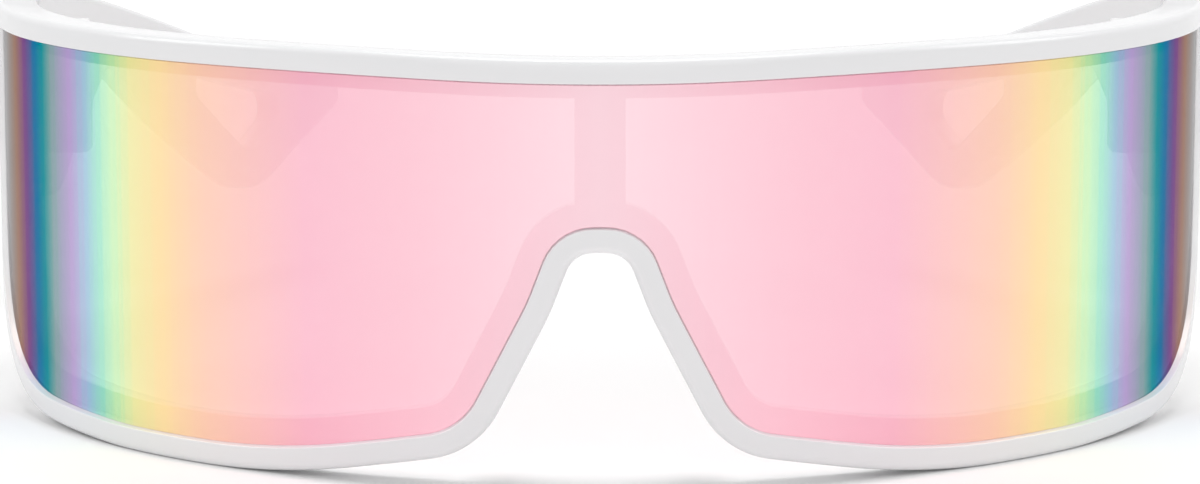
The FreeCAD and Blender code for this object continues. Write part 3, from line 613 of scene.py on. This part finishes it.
def rim_rings(rim, inset, radius, lift):
    """Closed loops round the rim, one for each inset, cylinder radius and lift of the top edge."""
    inset, radius, lift = (values[:, None] for values in (inset, radius, lift))
    low = lower_edge(rim, inset, radius)
    rounding = np.maximum(rim.end_round - inset, 0)
    turn_y = rim.end - inset - rounding
    reach = np.arccos((rim.wrap_radius - turn_y) / radius)
    x = radius * np.sin(reach * np.linspace(1, 0, TOP_STEPS)[None])
    top = from_front(rim, x, top_line(rim, x) + lift - inset, radius)
    end_low, turn_z = low[:, -1:, 2], top[:, :1, 2] - rounding
    shares = np.arange(1, END_STEPS)[None] / END_STEPS
    end = from_side(rim, rim.end - inset, end_low + (turn_z - end_low) * shares, radius)
    turn = np.linspace(0, math.pi / 2, EDGE_STEPS)[None, :-1]
    bend = from_side(rim, turn_y + rounding * np.cos(turn), turn_z + rounding * np.sin(turn), radius)
    half = np.concatenate([low, end, bend, top], axis=1)
    return np.concatenate([half, half[:, -2:0:-1] * ACROSS_FLIP], axis=1)


def wall_radii(rim):
    """Radii of the rim's back and of the ledge that the lens is bedded on."""
    back = rim.wrap_radius - rim.depth
    seat = rim.wrap_radius - rim.lens_setback - rim.lens_thickness - rim.seat_gap
    return back, seat


# Shape of each piece


def rim_shell(rim):
    """The rim: its section, a polygon of insets and radii with rounded corners, carried round."""
    back, seat = wall_radii(rim)
    face, outer = rim.face_width, rim.wrap_radius
    opening = face + rim.ledge
    middle = (back + outer) / 2
    corners = [(0, middle), (0, outer), (face, outer), (face, seat), (opening, seat), (opening, back),
               (0, back), (0, middle)]
    crease = rim.lip_round * CREASE_SHARE
    rounds = [rim.face_round, rim.lip_round, crease, rim.lip_round, rim.back_round, rim.back_round]
    inset, radius = rounded_section(corners, rounds, face)[0].T
    on_ledge = np.clip((inset - face) / rim.ledge, 0, 1)
    lift = (rim.ledge - rim.ledge_top) * on_ledge
    shell = Shell()
    shell.grid(rim_rings(rim, inset, radius, lift), round_rows=True, round_columns=True)
    return shell


def lens_shell(rim):
    """The lens: upright columns between its lower edge and its top, front and back, with bevels."""
    outer = rim.wrap_radius - rim.lens_setback
    inner = outer - rim.lens_thickness
    inset = rim.face_width + rim.lens_gap
    bevel = rim.lens_bevel
    rows = np.linspace(0, 1, LENS_ROWS)
    front, back = (np.column_stack([rows, bevel * (1 - 2 * rows), np.full(LENS_ROWS, radius)])
                   for radius in (outer, inner))
    head = np.array([[1, 0, outer - bevel], [1, 0, inner + bevel]])
    foot = np.array([[0, 0, inner + bevel], [0, 0, outer - bevel]])
    up, shift, radius = np.concatenate([front, head, back[::-1], foot]).T[:, :, None]
    low = lower_edge(rim, np.full_like(radius, inset), radius)
    high = top_line(rim, low[..., 0]) - inset
    low[..., 2] += (high - low[..., 2]) * up + shift
    columns = low.transpose(1, 0, 2)
    return capped_tube(np.concatenate([columns[:0:-1] * ACROSS_FLIP, columns]))


def post_shell(rim):
    """The post above the nose: a rounded section carried up the inside of the wrap."""
    back, seat = wall_radii(rim)
    half = rim.post_width / 2
    corners = [(0, seat), (half, seat), (half, back), (-half, back), (-half, seat), (0, seat)]
    rounds = [rim.lip_round, rim.back_round, rim.back_round, rim.lip_round]
    x, radius = rounded_section(corners, rounds, half)[0].T[:, None, :]
    low = rim.crown_height + rim.face_width
    high = top_line(rim, 0.0) - rim.face_width
    z = np.linspace(low, high, POST_ROWS)[:, None]
    return capped_tube(from_front(rim, x, z, radius))


def block_shell(rim, blocks):
    """A hinge block: its plan carried up, drawn in at both ends and kept inside the rim's corner."""
    rear, front = rim.end, rim.end - blocks.block_depth
    wall, bite = blocks.block_out, blocks.block_out + blocks.block_bite
    corners = [(wall, rear), (bite, rear), (wall, front), (blocks.block_in, front),
               (blocks.block_in, rear), (wall, rear)]
    edge = blocks.block_edge
    plan, normals = rounded_section(corners, [edge, edge, blocks.block_round, edge], blocks.block_depth)
    inset, short = rounded_edge(edge)
    z = np.concatenate([(blocks.block_low + short)[::-1], blocks.block_high - short])[:, None]
    inset = np.concatenate([inset[::-1], inset])[:, None]
    along, up = side_path(rim)[0].T
    limit = np.interp(z, up, along)
    x = plan[:, 0] - inset * normals[:, 0]
    y = np.minimum(plan[:, 1] - inset * normals[:, 1], limit)
    return capped_tube(places(x, y, z))


def pad_shell(rim, blocks):
    """A nose pad: a rounded section beside the arch, carried back and drawn in at its rear."""
    waist = np.array([rim.waist_half, rim.waist_height])
    foot = np.array([rim.foot_half, rim.foot_height])
    way = foot - waist
    aside = unit([-way[1], way[0]]) * blocks.pad_thickness
    top = waist + way * blocks.pad_top
    low = waist + way * blocks.pad_low
    middle = (top + low) / 2
    corners = [middle, low, low + aside, top + aside, top, middle]
    section, normals = rounded_section(corners, [blocks.pad_round] * 4, blocks.pad_thickness)
    inset, short = rounded_edge(blocks.pad_rear_round)
    y = np.concatenate([[blocks.pad_root], blocks.pad_reach - short])[:, None]
    inset = np.concatenate([[0], inset])[:, None]
    x = section[:, 0] + inset * normals[:, 0]
    z = section[:, 1] + inset * normals[:, 1]
    return capped_tube(places(x, y, z))


def temple_faces(temple, along):
    """Distance of the temple's inner and outer face from the middle, at places along it."""
    tail = 2 * temple.end - temple.bend
    lead = 2 * temple.front - temple.bend
    faces = []
    for extra in ((0, 0, 0), (temple.front_thickness, temple.bend_thickness, temple.end_thickness)):
        front, bend, end = np.add((temple.inner_front, temple.inner_bend, temple.inner_end), extra)
        corners = np.array([(lead, 2 * front - bend), (temple.bend, bend), (tail, 2 * end - bend)])
        back, ahead = unit(corners[0] - corners[1]), unit(corners[2] - corners[1])
        half = math.acos(back @ ahead) / 2
        line = rounded_path(corners, [temple.bend_reach * math.tan(half)], TEMPLE_SPACING)[0]
        faces.append(np.interp(along, line[:, 0], line[:, 1]))
    return faces


def temple_outline(temple):
    """Points of the temple's edge from the side, normals into it and where its stretches are split."""
    head, toe = (temple.front, temple.top), (temple.front, temple.toe)
    tip, heel = (temple.end, temple.tip_up), (temple.end, temple.heel_up)
    crest, notch = (temple.crest_along, temple.crest_up), (temple.notch_along, temple.notch_up)
    hook = (temple.hook_along, temple.hook_up)
    rounds = [temple.top_round, temple.crest_round, temple.tip_round, temple.tip_round,
              temple.hook_round, temple.notch_round, temple.toe_round]
    outline = Loop(np.add(head, toe) / 2, [head, crest, tip, heel, hook, notch, toe], rounds, TEMPLE_SPACING)
    seam = temple.window_front_along - SEAM_LEAD
    marks = [head, (seam, temple.top), tip, heel, hook, (seam, temple.toe), toe]
    counts = [TEMPLE_COLUMNS, WINDOW_COLUMNS, TIP_COLUMNS, HEEL_COLUMNS, WINDOW_COLUMNS, TEMPLE_COLUMNS,
              TEMPLE_ROWS]
    points, normals = outline.stretches([outline.station(mark) for mark in marks], counts)
    return points, -normals, np.cumsum(counts)[:-1]


def temple_window(temple):
    """Points of the window's edge, opposite those of the temple's rear, and normals away from it."""
    fore = (temple.window_front_along, temple.window_front_up)
    rear = (temple.window_rear_along, temple.window_rear_up)
    low = (temple.window_low_along, temple.window_low_up)
    fore_round, rear_round = temple.window_front_round, temple.window_rear_round
    window = Loop(np.add(fore, rear) / 2, [rear, low, fore],
                  [rear_round, temple.window_low_round, fore_round], TEMPLE_SPACING)
    rear_at, low_at, fore_at = (window.station(mark) for mark in (rear, low, fore))
    stops = [fore_at + fore_round, rear_at - rear_round, rear_at + rear_round, low_at, fore_at - fore_round]
    return window.stretches(stops, [WINDOW_COLUMNS, TIP_COLUMNS, HEEL_COLUMNS, WINDOW_COLUMNS, TEMPLE_ROWS])


def temple_shell(temple):
    """A temple: two faces filled between its outline and its window, joined by rounded edges.

    The side view gives the outlines; a point there is put on the inner or the outer face, or
    between them along a quarter circle of the edge's rounding.
    """
    edge, inward, splits = temple_outline(temple)
    hole, outward = temple_window(temple)
    face_edge = edge + temple.edge_round * inward
    top, back_top, tip, heel, hook, bottom, front = np.split(face_edge, splits)
    seam = np.linspace(bottom[0], back_top[0], TEMPLE_ROWS + 1)
    front_grid = coons(np.concatenate([bottom, front[:1]])[::-1], np.concatenate([top, back_top[:1]]),
                       np.concatenate([front, top[:1]]), seam)
    around = np.concatenate([back_top, tip, heel, hook, seam[:-1]])
    shares = np.linspace(0, 1, RING_ROWS)[:, None, None]
    ring_grid = around + (hole + temple.edge_round * outward - around) * shares
    depth, draw_in = rounded_edge(temple.edge_round)

    def on_face(spots, side):
        x = temple_faces(temple, spots[..., 0])[side]
        return places(x, spots[..., 0], spots[..., 1])

    def band(points, normals):
        spots = points + draw_in[:, None, None] * normals
        inner, outer = temple_faces(temple, spots[..., 0])
        step = depth[:, None]
        x = np.concatenate([inner + step, (outer - step)[::-1]])
        both = np.concatenate([spots, spots[::-1]])
        return places(x, both[..., 0], both[..., 1])

    shell = Shell()
    for side in (0, 1):
        shell.grid(on_face(front_grid, side))
        shell.grid(on_face(ring_grid, side), round_columns=True)
    shell.grid(band(edge, inward), round_columns=True)
    shell.grid(band(hole, outward), round_columns=True)
    return shell


def box_shell(low, high):
    """A plain box between two corners, for cutting."""
    x, y, z = zip(low, high)
    ring = np.array([(x[0], y[0]), (x[1], y[0]), (x[1], y[1]), (x[0], y[1])])
    return capped_tube(places(ring[:, 0], ring[:, 1], np.array(z)[:, None]))


# Finishes


class Surface:
    """A new material, its shader's sockets and the nodes that vary them."""

    def __init__(self, name):
        self.material = bpy.data.materials.new(name)
        self.material.use_nodes = True
        self.nodes = self.material.node_tree.nodes
        self.links = self.material.node_tree.links
        self.sockets = self.nodes["Principled BSDF"].inputs

    def noise(self, marks, detail, stretch=(1, 1, 1)):
        """Noise on the piece's own coordinates, with so many marks to the metre."""
        place = self.nodes.new("ShaderNodeTexCoord")
        mapping = self.nodes.new("ShaderNodeMapping")
        mapping.inputs["Scale"].default_value = stretch
        noise = self.nodes.new("ShaderNodeTexNoise")
        noise.inputs["Scale"].default_value = marks
        noise.inputs["Detail"].default_value = detail
        self.links.new(place.outputs["Object"], mapping.inputs["Vector"])
        self.links.new(mapping.outputs["Vector"], noise.inputs["Vector"])
        return noise.outputs["Fac"]

    def spread(self, noise, low, high):
        """A noise value carried to a range."""
        reach = self.nodes.new("ShaderNodeMapRange")
        levels = zip(("From Min", "From Max", "To Min", "To Max"), (*NOISE_RANGE, low, high))
        for name, level in levels:
            reach.inputs[name].default_value = level
        self.links.new(noise, reach.inputs["Value"])
        return reach.outputs["Result"]

    def tone(self, noise, base, shade):
        """Let a noise value carry the colour from a shade of it to the whole."""
        mix = self.nodes.new("ShaderNodeMix")
        mix.data_type = "RGBA"
        mix.inputs["A"].default_value = (*(np.array(base) * shade), 1)
        mix.inputs["B"].default_value = (*base, 1)
        self.links.new(noise, mix.inputs["Factor"])
        self.links.new(mix.outputs["Result"], self.sockets["Base Color"])

    def roughen(self, noise, roughness):
        """Let a noise value vary the roughness over a range."""
        self.links.new(self.spread(noise, *roughness), self.sockets["Roughness"])

    def relief(self, noise, strength):
        """A slight relief from a noise value."""
        bump = self.nodes.new("ShaderNodeBump")
        bump.inputs["Strength"].default_value = strength
        bump.inputs["Distance"].default_value = RELIEF_HEIGHT
        self.links.new(noise, bump.inputs["Height"])
        self.links.new(bump.outputs["Normal"], self.sockets["Normal"])


def gloss_plastic(finishes):
    """Gloss white moulding, made once: faint flow marks and a very slight orange peel."""
    if MOULDING in bpy.data.materials:
        return bpy.data.materials[MOULDING]
    surface = Surface(MOULDING)
    flow = surface.noise(*FLOW_MARKS)
    surface.tone(flow, finishes.plastic, FLOW_SHADE)
    surface.roughen(flow, FLOW_ROUGHNESS)
    surface.relief(surface.noise(*PEEL_MARKS), PEEL_STRENGTH)
    return surface.material


def hinge_steel(finishes):
    """Brushed steel: fine lines along the hinge, in its tone, gloss and relief."""
    surface = Surface("brushed_hinge_steel")
    lines = surface.noise(*BRUSH_MARKS, BRUSH_STRETCH)
    surface.tone(lines, finishes.steel, BRUSH_SHADE)
    surface.roughen(lines, BRUSH_ROUGHNESS)
    surface.relief(lines, BRUSH_STRENGTH)
    surface.sockets["Metallic"].default_value = 1.0
    return surface.material


def mirror_coat_with_painted_shade_and_glare(finishes):
    """Mirror coat: colour and solidity by the arc from the lens's middle, in slightly uneven stripes, with
    painted shade and a painted glare near the lens's ends.
    """
    surface = Surface("rainbow_mirror_coat")
    nodes, links, sockets = surface.nodes, surface.links, surface.sockets
    arc = nodes.new("ShaderNodeAttribute")
    arc.attribute_name = ARC
    ramp = nodes.new("ShaderNodeValToRGB")
    stops = ramp.color_ramp.elements
    while len(stops) < len(ARC_STOPS):
        stops.new(1.0)
    for stop, (degrees, name, solid) in zip(stops, ARC_STOPS):
        stop.position = degrees / ARC_END
        stop.color = (*getattr(finishes, name), solid)
    stripes = nodes.new("ShaderNodeTexNoise")
    stripes.noise_dimensions = "1D"
    stripes.inputs["Scale"].default_value = STRIPES
    links.new(arc.outputs["Fac"], stripes.inputs["W"])
    uneven = nodes.new("ShaderNodeMath")
    links.new(arc.outputs["Fac"], uneven.inputs[0])
    links.new(surface.spread(stripes.outputs["Fac"], -STRIPE_SHIFT, STRIPE_SHIFT), uneven.inputs[1])
    links.new(uneven.outputs["Value"], ramp.inputs["Fac"])
    links.new(ramp.outputs["Color"], sockets["Base Color"])
    links.new(ramp.outputs["Alpha"], sockets["Alpha"])
    surface.roughen(surface.noise(*HAZE_MARKS), COAT_ROUGHNESS)
    sockets["Metallic"].default_value = 1.0
    sockets["Specular Tint"].default_value = COAT_EDGE_TINT
    return surface.material


def lens_tint(finishes):
    """The clear tinted lens behind the coat, seen at its back and edges."""
    surface = Surface("clear_lens_tint")
    haze = surface.noise(*HAZE_MARKS)
    surface.tone(haze, finishes.tint, TINT_SHADE)
    surface.roughen(haze, TINT_ROUGHNESS)
    surface.sockets["Alpha"].default_value = TINT_SOLID
    return surface.material


# Floor, lights and camera


def seen_directly(nodes, links):
    """One where a ray comes from the camera, a reflection or a pane, and nothing for other light."""
    path = nodes.new("ShaderNodeLightPath")
    total = path.outputs["Is Camera Ray"]
    for name in ("Is Glossy Ray", "Is Transmission Ray"):
        larger = nodes.new("ShaderNodeMath")
        larger.operation = "MAXIMUM"
        links.new(total, larger.inputs[0])
        links.new(path.outputs[name], larger.inputs[1])
        total = larger.outputs["Value"]
    return total


def build_floor(studio):
    """A wide white floor that shows white and keeps the contact shadow."""
    half = studio.floor_size / 2
    mesh = bpy.data.meshes.new("floor")
    mesh.from_pydata([(-half, -half, 0), (half, -half, 0), (half, half, 0), (-half, half, 0)], [],
                     [(0, 1, 2, 3)])
    floor = add_object("floor", mesh)
    surface = Surface("white_floor")
    nodes, links, sockets = surface.nodes, surface.links, surface.sockets
    sockets["Base Color"].default_value = FLOOR_COLOUR
    sockets["Roughness"].default_value = 1.0
    sockets["Specular IOR Level"].default_value = 0.0
    sockets["Emission Color"].default_value = WHITE
    glow = nodes.new("ShaderNodeMath")
    glow.operation = "MULTIPLY"
    glow.inputs[1].default_value = FLOOR_GLOW
    links.new(seen_directly(nodes, links), glow.inputs[0])
    links.new(glow.outputs["Value"], sockets["Emission Strength"])
    mesh.materials.append(surface.material)


def build_lights(studio):
    """Even light from all round, and soft lamps overhead, on each side and on the camera's side."""
    world = bpy.data.worlds.new("studio_surround")
    bpy.context.scene.world = world
    world.use_nodes = True
    nodes, links = world.node_tree.nodes, world.node_tree.links
    level = nodes.new("ShaderNodeMapRange")
    level.inputs["To Min"].default_value = studio.surround
    level.inputs["To Max"].default_value = BACKDROP_LEVEL
    links.new(seen_directly(nodes, links), level.inputs["Value"])
    background = nodes["Background"]
    background.inputs["Color"].default_value = WHITE
    links.new(level.outputs["Result"], background.inputs["Strength"])
    lamps = (("overhead", studio.overhead, (-OVERHEAD_TILT, 0, 0), OVERHEAD_WIDTH),
             ("left_side", studio.aside, (0, SIDE_TILT, SIDE_TURN), SIDE_WIDTH),
             ("right_side", studio.aside, (0, -SIDE_TILT, -SIDE_TURN), SIDE_WIDTH),
             ("fill", studio.fill, (FILL_TILT, 0, 0), FILL_WIDTH))
    for name, strength, turn, width in lamps:
        lamp = bpy.data.lights.new(name, "SUN")
        lamp.energy = strength
        lamp.angle = math.radians(width)
        add_object(name, lamp).rotation_euler = np.radians(turn)


def build_camera(studio):
    """The camera ahead of the rim, looking a little down on it."""
    camera = add_object("camera", bpy.data.cameras.new("camera"))
    camera.data.lens = studio.focal
    camera.data.sensor_fit = "HORIZONTAL"
    back = Vector((0, -math.cos(studio.tilt), math.sin(studio.tilt))) * studio.distance
    camera.location = Vector((0, FRONT_Y, studio.aim_height)) + back
    camera.rotation_euler = (math.pi / 2 - studio.tilt, 0, 0)
    bpy.context.scene.camera = camera


# Operators, one for each piece or group of like pieces


class BuildRim(bpy.types.Operator):
    """Build the moulded rim round the lens"""
    bl_idname = "sunglasses.build_rim"
    bl_label = "Rim"

    def execute(self, context):
        settings = context.scene.shield_sunglasses
        settle_on_rim(rim_shell(settings.rim).piece("rim"), settings.finishes)
        return {"FINISHED"}


class BuildLens(bpy.types.Operator):
    """Build the bent lens with its mirror coat in front and its clear tint behind"""
    bl_idname = "sunglasses.build_lens"
    bl_label = "Lens"

    def execute(self, context):
        settings = context.scene.shield_sunglasses
        rim = settings.rim
        lens = lens_shell(rim).piece("mirrored_lens")
        mesh = lens.data
        for make in (mirror_coat_with_painted_shade_and_glare, lens_tint):
            mesh.materials.append(make(settings.finishes))
        axis_y = FRONT_Y + rim.wrap_radius
        x, y = mesh_vectors(mesh.vertices, "co")[:2]
        arc = np.degrees(np.arctan2(np.abs(x), axis_y - y)) / ARC_END
        mesh.attributes.new(ARC, "FLOAT", "POINT").data.foreach_set("value", arc)
        x, y = mesh_vectors(mesh.polygons, "center")[:2]
        behind = np.hypot(x, axis_y - y) < rim.wrap_radius - rim.lens_setback - rim.lens_bevel
        mesh.polygons.foreach_set("material_index", behind.astype(np.int32))
        lens.visible_shadow = False
        settle(lens, "front", "mirrored_lens", None, "shield_lens")
        return {"FINISHED"}


class BuildBridge(bpy.types.Operator):
    """Build the post above the nose and the two nose pads"""
    bl_idname = "sunglasses.build_bridge"
    bl_label = "Post and nose pads"

    def execute(self, context):
        settings = context.scene.shield_sunglasses
        settle_on_rim(post_shell(settings.rim).piece("centre_post"), settings.finishes)
        for side, flip in SIDES.items():
            pad = pad_shell(settings.rim, settings.blocks).piece(f"{side}_nose_pad", flip)
            settle_on_rim(pad, settings.finishes)
        return {"FINISHED"}


class BuildHingeBlocks(bpy.types.Operator):
    """Build the moulded hinge blocks inside the rim's ends"""
    bl_idname = "sunglasses.build_hinge_blocks"
    bl_label = "Hinge blocks"

    def execute(self, context):
        settings = context.scene.shield_sunglasses
        for side, flip in SIDES.items():
            block = block_shell(settings.rim, settings.blocks).piece(f"{side}_hinge_block", flip)
            settle_on_rim(block, settings.finishes)
        return {"FINISHED"}


class BuildTemples(bpy.types.Operator):
    """Build the two temples with their windows and the recesses for the hinge leaves"""
    bl_idname = "sunglasses.build_temples"
    bl_label = "Temples"

    def execute(self, context):
        settings = context.scene.shield_sunglasses
        white = gloss_plastic(settings.finishes)
        sizes = settings.temple
        low = (HINGE.x, sizes.front - sizes.edge_round, HINGE.z - sizes.seat_half)
        high = (sizes.inner_front, sizes.seat_rear, HINGE.z + sizes.seat_half)
        for side, flip in SIDES.items():
            arm = temple_shell(sizes).piece(f"{side}_temple_moulding", flip)
            carve(arm, box_shell(low, high).piece("leaf_recess", flip))
            settle(arm, f"{side}_arm", "white_plastic", white, f"{side}_temple")
        return {"FINISHED"}


class FinishHinges(bpy.types.Operator):
    """Give the hinge leaves and screws their brushed steel"""
    bl_idname = "sunglasses.finish_hinges"
    bl_label = "Hinges and screws"

    def execute(self, context):
        steel = hinge_steel(context.scene.shield_sunglasses.finishes)
        for name, node in frame["nodes"].items():
            if "leaf" in name or "screw" in name:
                for slot in node.material_slots:
                    slot.link = "OBJECT"
                    slot.material = steel
        return {"FINISHED"}


class BuildStage(bpy.types.Operator):
    """Build the floor, the lights and the camera"""
    bl_idname = "sunglasses.build_stage"
    bl_label = "Studio"

    def execute(self, context):
        studio = context.scene.shield_sunglasses.studio
        build_floor(studio)
        build_lights(studio)
        build_camera(studio)
        context.scene.view_settings.view_transform = "Standard"
        return {"FINISHED"}


OPERATORS = (BuildRim, BuildLens, BuildBridge, BuildHingeBlocks, BuildTemples, FinishHinges, BuildStage)


class SunglassesPanel(bpy.types.Panel):
    """The sunglasses' pieces, sizes and colours"""
    bl_idname = "VIEW3D_PT_shield_sunglasses"
    bl_label = "Shield sunglasses"
    bl_space_type = "VIEW_3D"
    bl_region_type = "UI"
    bl_category = "Sunglasses"

    def draw(self, context):
        layout = self.layout
        for operator in OPERATORS:
            layout.operator(operator.bl_idname)
        settings = context.scene.shield_sunglasses
        for heading in settings.__annotations__:
            group = getattr(settings, heading)
            column = layout.column(align=True)
            for name in group.__annotations__:
                column.prop(group, name)


CLASSES = (RimSizes, BlockSizes, TempleSizes, Finishes, Studio, Settings, *OPERATORS, SunglassesPanel)


def register():
    for kind in CLASSES:
        bpy.utils.register_class(kind)
    bpy.types.Scene.shield_sunglasses = PointerProperty(type=Settings)


def unregister():
    del bpy.types.Scene.shield_sunglasses
    for kind in reversed(CLASSES):
        bpy.utils.unregister_class(kind)


def main():
    """Register the add-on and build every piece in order."""
    register()
    for operator in OPERATORS:
        group, name = operator.bl_idname.split(".")
        getattr(getattr(bpy.ops, group), name)()


if __name__ == "__main__":
    main()
